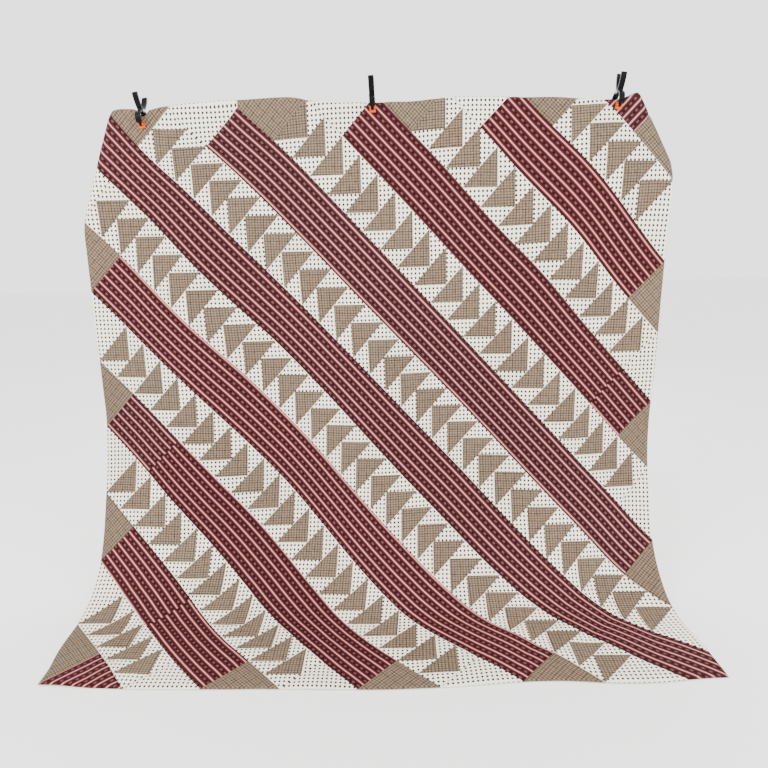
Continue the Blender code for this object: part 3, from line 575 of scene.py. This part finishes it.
def lay_cloth(grid, columns, rows, margin_rows, steps_each, side):
    """Moves a grid's vertices to the front (side 1) or the back (side -1) of the cloth."""
    points = vertex_places(grid.data)
    column = np.round((points[:, 0] + 0.5) * columns).astype(int)
    row = np.round((0.5 - points[:, 1]) * rows).astype(int)
    order = np.empty(len(points), int)
    order[row * (columns + 1) + column] = np.arange(len(points))
    all_columns, all_rows = np.meshgrid(np.arange(columns + 1), np.arange(rows + 1) - margin_rows)
    u, v = flat_place(all_columns, all_rows, steps_each)
    middle_places = middle(u, v)
    normal = outward(middle_places)
    su, sv = u / STRIP + SIDE_STRIPS / 2, np.maximum(v / STRIP, FACE_TINY)
    _, _, seam = piecing(np.clip(su, FACE_TINY, SIDE_STRIPS - FACE_TINY),
                         np.clip(sv, FACE_TINY, SIDE_STRIPS - FACE_TINY))
    edge = np.minimum(np.minimum(SIDE / 2 - np.abs(u), SIDE - v), v - v[0:1])
    flat_share = 1 - near_pads(middle_places)
    swell = 1 - np.exp(-(np.maximum(seam, 0) / PUFF_WIDTH) ** PUFF_POWER)
    pucker = waviness(u, v, PUCKER_SEED, PUCKER_LENGTH) * PUCKER_DEPTH * np.exp(-seam / PUCKER_FADE)
    rounding = np.sqrt(1 - (1 - np.clip(edge / EDGE_ROUND, 0, 1)) ** 2)
    lift = (PUFF if side > 0 else BACK_PUFF) * swell * flat_share + pucker * flat_share
    away = (HALF + lift) * rounding
    places = middle_places + side * normal * away[..., None]
    places[..., 2] = np.maximum(places[..., 2], FLOOR_GAP)
    final = np.empty_like(points)
    final[order] = places.reshape(-1, 3)
    grid.data.vertices.foreach_set("co", final.ravel())
    grid.data.update()
    # painted shade: the seam attribute is 1 on a seam and fades over SEAM_SHADE, and the finishes darken the
    # cloth with it in the seam valleys
    seam_shade_share = np.empty(len(points), np.float32)
    seam_shade_share[order] = np.exp(-(seam / SEAM_SHADE) ** 2).ravel().astype(np.float32)
    made = grid.data.attributes.new("seam", "FLOAT", "POINT")
    made.data.foreach_set("value", seam_shade_share)


lay_cloth(top, columns, rows, MARGIN_ROWS, TOP_STEPS, 1)
print("top spans", [round(float(c), 3) for c in np.ptp(vertex_places(top.data), axis=0)])

# %% [markdown]
# ## The backing
#
# The back is one plain cloth. It is a coarser grid on the same drape, and its outer edge
# meets the top's outer edge in a knife edge, as on a quilt whose two layers are turned in.

# %% Grid of the backing
BACK_STEPS = 4
back_columns = CELLS * BACK_STEPS
back_rows = back_columns + MARGIN_ROWS
back = make_grid("backing", back_columns, back_rows)
lay_cloth(back, back_columns, back_rows, MARGIN_ROWS, BACK_STEPS, -1)
bpy.ops.object.select_all(action="DESELECT")
bpy.context.view_layer.objects.active = back
back.select_set(True)
bpy.ops.object.mode_set(mode="EDIT")
bpy.ops.mesh.select_all(action="SELECT")
bpy.ops.mesh.flip_normals()
bpy.ops.object.mode_set(mode="OBJECT")
print("backing:", len(back.data.polygons), "faces")
for cloth in (top, back):
    cloth.data.shade_smooth()

# %% [markdown]
# ## Cloth finishes
#
# The three prints are drawn with a little arithmetic on the "print" map, which is in metres,
# so each motif has its real size: stripes and links on the burgundy, rows of small dots on
# the cream, a slubby check on the tan. A small helper keeps the node code readable: it adds a
# node, and joins or sets its inputs.

# %% A helper for node materials
def srgb(red, green, blue):
    """A colour as a screen shows it, 0 to 255, turned into the shader's linear values."""
    def one(value):
        value /= 255.0
        return value / 12.92 if value <= 0.04045 else ((value + 0.055) / 1.055) ** 2.4
    return one(red), one(green), one(blue), 1.0


class Finish:
    """One material and short ways to add its nodes."""

    def __init__(self, name, roughness=0.8, metallic=0.0, specular=0.5):
        self.material = bpy.data.materials.new(name)
        self.material.use_nodes = True
        self.tree = self.material.node_tree
        self.shader = self.tree.nodes["Principled BSDF"]
        self.shader.inputs["Roughness"].default_value = roughness
        self.shader.inputs["Metallic"].default_value = metallic
        self.shader.inputs["Specular IOR Level"].default_value = specular

    def add(self, kind, inputs=None, **settings):
        made = self.tree.nodes.new("ShaderNode" + kind)
        for name, value in settings.items():
            setattr(made, name, value)
        for name, value in (inputs or {}).items():
            self.feed(made.inputs[name], value)
        return made

    def feed(self, socket, value):
        if isinstance(value, bpy.types.NodeSocket):
            self.tree.links.new(value, socket)
        else:
            socket.default_value = value

    def math(self, operation, first, second=0.0, third=0.0, clamp=False):
        inputs = {0: first, 1: second, 2: third}
        return self.add("Math", inputs, operation=operation, use_clamp=clamp).outputs[0]

    def ramp(self, value, low, high, start=0.0, end=1.0):
        """Maps low..high smoothly to start..end and holds outside."""
        inputs = {"Value": value, "From Min": low, "From Max": high, "To Min": start, "To Max": end}
        return self.add("MapRange", inputs, interpolation_type="SMOOTHSTEP").outputs[0]

    def mix(self, share, first, second):
        made = self.add("Mix", data_type="RGBA")
        for index, value in ((0, share), (6, first), (7, second)):
            self.feed(made.inputs[index], value)
        return made.outputs[2]

    def noise(self, vector, scale, detail=3.0, roughness=0.5):
        inputs = {"Vector": vector, "Scale": scale, "Detail": detail, "Roughness": roughness}
        return self.add("TexNoise", inputs).outputs[0]

    def waves(self, value, length):
        """0 to 1 and back over this length."""
        sine = self.math("SINE", self.math("MULTIPLY", value, math.tau / length))
        return self.math("MULTIPLY_ADD", sine, 0.5, 0.5)

    def stretched(self, x, y, scale_x, scale_y, detail=3.0):
        """Noise drawn out along one direction, as threads and slubs are."""
        inputs = {0: self.math("MULTIPLY", x, scale_x), 1: self.math("MULTIPLY", y, scale_y)}
        return self.noise(self.add("CombineXYZ", inputs).outputs[0], 1.0, detail)

    def length_of(self, first, second):
        """The distance that two offsets at right angles make."""
        squares = [self.math("POWER", offset, 2.0) for offset in (first, second)]
        return self.math("SQRT", self.math("ADD", *squares))

    def repeat(self, value, length):
        """Distance along this length from the middle of the nearest repeat, signed."""
        return self.math("WRAP", value, length / 2, -length / 2)

    def attribute(self, name):
        return self.add("Attribute", attribute_name=name, attribute_type="GEOMETRY").outputs["Fac"]

    def place(self):
        return self.add("TexCoord").outputs["Object"]

    def scaled(self, vector, scale):
        return self.add("Mapping", {"Vector": vector, "Scale": scale}).outputs[0]

    def print_place(self):
        """The print map and its two directions."""
        vector = self.add("UVMap", uv_map="print").outputs[0]
        parts = self.add("SeparateXYZ", {0: vector})
        return vector, parts.outputs[0], parts.outputs[1]

    def relief(self, height, distance, strength=1.0, under=None):
        made = self.add("Bump", {"Height": height, "Distance": distance, "Strength": strength})
        if under is not None:
            self.tree.links.new(under, made.inputs["Normal"])
        return made.outputs[0]

    def done(self, colour=None, normal=None, roughness=None):
        for name, value in (("Base Color", colour), ("Normal", normal), ("Roughness", roughness)):
            if value is not None:
                self.feed(self.shader.inputs[name], value)
        return self.material


# %% What all three cottons share
THREAD_ALONG, THREAD_ACROSS = 90.0, 1400.0   # changes in a metre along and across a thread
WEAVE = 0.0011                               # one over-and-under of the weave, metres


def cotton(finish, colour, x, y):
    """Adds age, seam shade, crinkle and weave to a print, and finishes the material."""
    place = finish.place()
    tone, fade, seam = (finish.attribute(name) for name in ("tone", "fade", "seam"))
    slow = finish.noise(place, 3.2, 2.0)
    age = finish.math("MULTIPLY_ADD", finish.math("SUBTRACT", slow, 0.5), 0.16, 0.0)
    light = finish.math("MULTIPLY_ADD", finish.math("SUBTRACT", tone, 0.5), 0.10, 1.0)
    light = finish.math("ADD", light, age)
    thread_x = finish.stretched(x, y, THREAD_ALONG, THREAD_ACROSS, 2.0)
    thread_y = finish.stretched(x, y, THREAD_ACROSS, THREAD_ALONG, 2.0)
    threads = finish.math("ADD", thread_x, thread_y)
    light = finish.math("ADD", light, finish.math("MULTIPLY_ADD", threads, 0.10, -0.10))
    # painted shade: the cloth is darker in the valleys along its seams
    light = finish.math("SUBTRACT", light, finish.math("MULTIPLY", seam, 0.10))
    strength = finish.math("MULTIPLY_ADD", fade, 0.10, 0.95)
    inputs = {"Value": light, "Color": colour, "Saturation": strength}
    shaded = finish.add("HueSaturation", inputs).outputs[0]
    crinkle = finish.noise(place, 42.0, 3.0, 0.55)
    weave = finish.math("MULTIPLY", finish.waves(x, WEAVE), finish.waves(y, WEAVE))
    normal = finish.relief(crinkle, 0.0030, 0.55)
    normal = finish.relief(threads, 0.0004, 0.5, normal)
    normal = finish.relief(weave, 0.00022, 0.45, normal)
    return finish.done(shaded, normal)


# %% Burgundy stripe with a chain of links
def burgundy_stripe():
    finish = Finish("burgundy_stripe", roughness=0.90, specular=0.06)
    vector, along, across = finish.print_place()
    pitch, link = 0.0272, 0.0211         # from line to line, and from link to link
    wobble = finish.noise(vector, 260.0, 2.0)
    from_line = finish.math("ABSOLUTE", finish.repeat(across, pitch))
    from_line = finish.math("ADD", from_line, finish.math("MULTIPLY_ADD", wobble, 0.0012, -0.0006))
    from_chain = finish.repeat(finish.math("ADD", across, pitch / 2), pitch)

    def oval(shift, half_across, half_along):
        """Distance from the nearest motif's middle, where 1 is its outline."""
        off = finish.repeat(finish.math("ADD", along, shift), link)
        return finish.length_of(finish.math("DIVIDE", from_chain, half_across),
                                finish.math("DIVIDE", off, half_along))

    ground = finish.mix(finish.ramp(from_line, 0.0040, 0.0085), srgb(66, 30, 32), srgb(52, 20, 23))
    knot = finish.ramp(oval(link / 2, 0.0042, 0.0034), 1.2, 0.5)
    ground = finish.mix(finish.math("MULTIPLY", knot, 0.8), ground, srgb(30, 9, 12))
    loop = oval(0.0, 0.0031, 0.0052)
    links = finish.mix(finish.ramp(loop, 0.15, 0.55), srgb(84, 48, 50), srgb(98, 66, 67))
    with_links = finish.mix(finish.ramp(loop, 1.15, 0.75), ground, links)
    flank = finish.ramp(from_line, 0.0042, 0.0026)
    with_flank = finish.mix(finish.math("MULTIPLY", flank, 0.8), with_links, srgb(104, 64, 65))
    line = finish.mix(finish.ramp(from_line, 0.0006, 0.0018), srgb(212, 134, 130), srgb(176, 112, 110))
    colour = finish.mix(finish.ramp(from_line, 0.0027, 0.0013), with_flank, line)
    return cotton(finish, colour, along, across)


# %% Cream with rows of dots
def cream_dots():
    finish = Finish("cream_dots", roughness=0.92, specular=0.06)
    vector, x, y = finish.print_place()
    wobble = finish.noise(vector, 420.0, 2.0)
    pitch_x, pitch_y = 0.0136, 0.0140    # from dot to dot
    across, down = finish.repeat(x, pitch_x), finish.repeat(y, pitch_y)
    away = finish.length_of(across, finish.math("MULTIPLY", down, 0.9))
    away = finish.math("ADD", away, finish.math("MULTIPLY_ADD", wobble, 0.0018, -0.0009))
    dot = finish.mix(finish.ramp(away, 0.0004, 0.0019), srgb(58, 50, 46), srgb(38, 32, 30))
    speck_x = finish.repeat(finish.math("ADD", x, pitch_x / 2), pitch_x)
    speck_y = finish.repeat(finish.math("ADD", y, pitch_y / 2), pitch_y)
    speck = finish.ramp(finish.length_of(speck_x, speck_y), 0.0012, 0.0006, 0.0, 0.35)
    ground = finish.mix(speck, srgb(246, 238, 218), srgb(156, 132, 102))
    colour = finish.mix(finish.ramp(away, 0.0044, 0.0029), ground, dot)
    return cotton(finish, colour, x, y)


# %% Tan with a slubby check
SLUB_ALONG, SLUB_ACROSS = 60.0, 600.0        # changes in a metre along and across a slub


def tan_check():
    finish = Finish("tan_check", roughness=0.91, specular=0.06)
    _, x, y = finish.print_place()
    slub = finish.stretched(x, y, SLUB_ALONG, SLUB_ACROSS)
    slub_down = finish.stretched(x, y, SLUB_ACROSS, SLUB_ALONG)
    warm = finish.mix(finish.attribute("fade"), srgb(106, 91, 73), srgb(107, 89, 77))
    both_slubs = finish.math("ADD", slub, slub_down)
    threads = finish.math("MULTIPLY_ADD", both_slubs, 2.2, -1.75, clamp=True)
    ground = finish.mix(threads, warm, srgb(140, 122, 103))
    dark = 0.0
    for value, grain, pitch in ((x, slub_down, 0.0098), (y, slub, 0.0082)):
        broken = finish.ramp(grain, 0.38, 0.58, 0.30, 1.0)
        fine_line = finish.math("ABSOLUTE", finish.repeat(value, pitch))
        heavy_line = finish.math("ABSOLUTE", finish.repeat(value, pitch * 3))
        fine = finish.ramp(fine_line, 0.0027, 0.0010)
        heavy = finish.ramp(heavy_line, 0.0022, 0.0010, 0.0, 0.5)
        both = finish.math("MULTIPLY", finish.math("ADD", fine, heavy), broken)
        dark = finish.math("ADD", finish.math("MULTIPLY", both, 0.58), dark)
    colour = finish.mix(finish.math("MULTIPLY", dark, 1.0, clamp=True), ground, srgb(48, 38, 30))
    return cotton(finish, colour, x, y)


# %% Plain backing
def muslin():
    finish = Finish("backing_muslin", roughness=0.92, specular=0.06)
    place = finish.place()
    seam = finish.attribute("seam")
    slub = finish.noise(finish.scaled(place, (900.0, 900.0, 40.0)), 1.0, 3.0)
    slub_across = finish.noise(finish.scaled(place, (40.0, 900.0, 900.0)), 1.0, 3.0)
    threads = finish.math("ADD", slub, slub_across)
    stain = finish.noise(place, 2.1, 4.0, 0.6)
    base = finish.mix(finish.ramp(stain, 0.42, 0.75), srgb(226, 216, 196), srgb(208, 192, 162))
    base = finish.mix(finish.math("MULTIPLY_ADD", threads, 0.35, -0.2, clamp=True), base, srgb(242, 236, 222))
    # painted shade: the back is darker along the seam lines, where its quilting sinks into valleys
    colour = finish.mix(finish.math("MULTIPLY", seam, 0.22), base, srgb(150, 132, 106))
    normal = finish.relief(finish.noise(place, 38.0, 3.0, 0.55), 0.003, 0.6)
    normal = finish.relief(threads, 0.0005, 0.6, normal)
    return finish.done(colour, normal)


for make in (burgundy_stripe, tan_check, cream_dots):
    top.data.materials.append(make())
top.data.polygons.foreach_set("material_index", fabric.astype(np.int32))
back.data.materials.append(muslin())
top.data.update()
print("cloth finishes:", [m.name for m in top.data.materials], back.data.materials[0].name)

# %% [markdown]
# ## Rack and clamp finishes
#
# The rack is powder-coated steel tube with moulded nylon fittings; the clamps are black nylon
# with orange pads. These pieces keep their CAD shape and take only their finish here.

# %% Hard finishes
def powder_coat(name, shade, roughness):
    finish = Finish(name, roughness=roughness, specular=0.3)
    place = finish.place()
    peel = finish.noise(place, 900.0, 2.0)
    dust = finish.noise(place, 9.0, 4.0, 0.6)
    colour = finish.mix(finish.ramp(dust, 0.45, 0.8, 0.0, 0.35), srgb(*shade), srgb(*(c + 26 for c in shade)))
    rough = finish.math("MULTIPLY_ADD", dust, 0.18, roughness - 0.09)
    return finish.done(colour, finish.relief(peel, 0.00025, 0.5), rough)


def moulded(name, shade, wear, roughness):
    finish = Finish(name, roughness=roughness, specular=0.08)
    place = finish.place()
    grain = finish.noise(place, 1600.0, 2.0)
    scuffs = finish.noise(finish.scaled(place, (120.0, 120.0, 22.0)), 1.0, 4.0, 0.65)
    colour = finish.mix(finish.ramp(scuffs, 0.52, 0.78, 0.0, 0.6), srgb(*shade), srgb(*wear))
    rough = finish.math("MULTIPLY_ADD", scuffs, 0.25, roughness - 0.12)
    return finish.done(colour, finish.relief(grain, 0.00012, 0.6), rough)


def zinc(name):
    finish = Finish(name, roughness=0.3, metallic=1.0)
    place = finish.place()
    cloud = finish.noise(place, 60.0, 4.0, 0.6)
    colour = finish.mix(cloud, srgb(176, 180, 184), srgb(208, 208, 202))
    return finish.done(colour, finish.relief(finish.noise(place, 700.0, 2.0), 0.0001, 0.4),
                       finish.math("MULTIPLY_ADD", cloud, 0.25, 0.2))


FINISHES = {"black_tube": powder_coat("tube_coat", (34, 34, 37), 0.42),
            "black_plate": powder_coat("plate_coat", (38, 38, 40), 0.55),
            "black_nylon": moulded("black_nylon", (4, 5, 8), (20, 25, 34), 0.34),
            "orange_pad": moulded("orange_pad", (200, 84, 20), (236, 138, 62), 0.45),
            "rubber": moulded("foot_rubber", (26, 26, 26), (54, 52, 50), 0.80),
            "steel": zinc("zinc_steel")}
SLOTS = {part["node"]: part["material_slot"] for part in frame["record"]["subparts"]}
SOFT = ("quilt_top", "quilt_batting", "quilt_backing")
for node, part in frame["nodes"].items():
    if node not in SOFT:
        part.data.materials.clear()
        part.data.materials.append(FINISHES[SLOTS[node]])
print("hard nodes finished:", len(frame["nodes"]) - len(SOFT))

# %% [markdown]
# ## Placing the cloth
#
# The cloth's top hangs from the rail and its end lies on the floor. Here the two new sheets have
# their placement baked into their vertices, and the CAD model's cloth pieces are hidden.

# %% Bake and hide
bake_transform(top)
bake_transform(back)
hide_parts("quilt_top", "quilt_batting")
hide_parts("quilt_backing")
